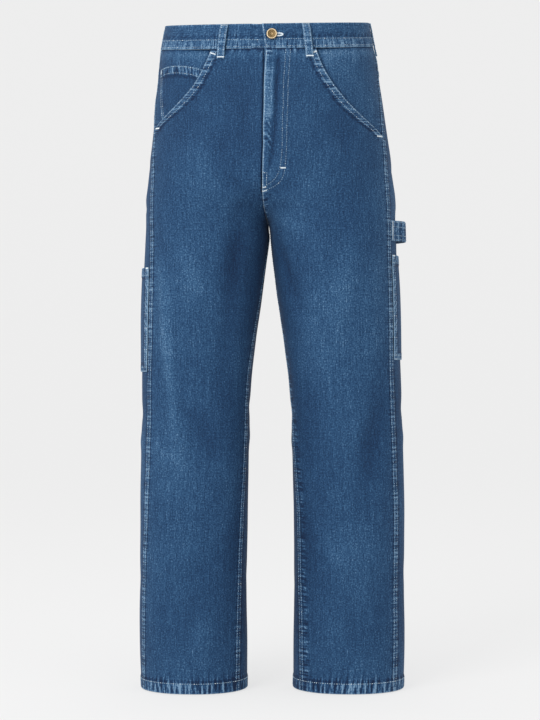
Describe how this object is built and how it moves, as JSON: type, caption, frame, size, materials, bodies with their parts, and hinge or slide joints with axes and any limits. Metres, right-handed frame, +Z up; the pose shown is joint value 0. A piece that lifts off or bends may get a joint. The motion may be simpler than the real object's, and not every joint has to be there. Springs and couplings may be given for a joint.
{
  "type": "carpenter pants",
  "caption": "Straight-legged denim carpenter pants with slanted front pockets, tool pockets and a hammer loop, hollow in worn shape.",
  "frame": {"origin": "middle of the waist opening, half way up the waistband, where a wearer holds the pants up", "axes": "+Z up, -Y towards the front with the fly, +X towards the wearer's left"},
  "size_m": [0.4249, 0.2612, 1.0768],
  "materials": {
    "denim": "mid-blue washed twill, matte",
    "antique_brass": "worn satin metal",
    "stitching": "pale cotton thread, matte"
  },
  "bodies": {
    "root": {"front_left": "denim", "front_right": "denim", "back_left": "denim", "back_right": "denim", "yoke_left": "denim", "yoke_right": "denim", "pocket_facing_left": "denim", "pocket_facing_right": "denim", "coin_pocket": "denim", "tool_pocket_left": "denim", "tool_pocket_right": "denim", "back_pocket_left": "denim", "back_pocket_right": "denim", "waistband": "denim", "belt_loop_front_left": "denim", "belt_loop_front_right": "denim", "belt_loop_side_left": "denim", "belt_loop_side_right": "denim", "belt_loop_back": "denim", "hammer_loop": "denim", "button": "antique_brass"}
  },
  "joints": []
}
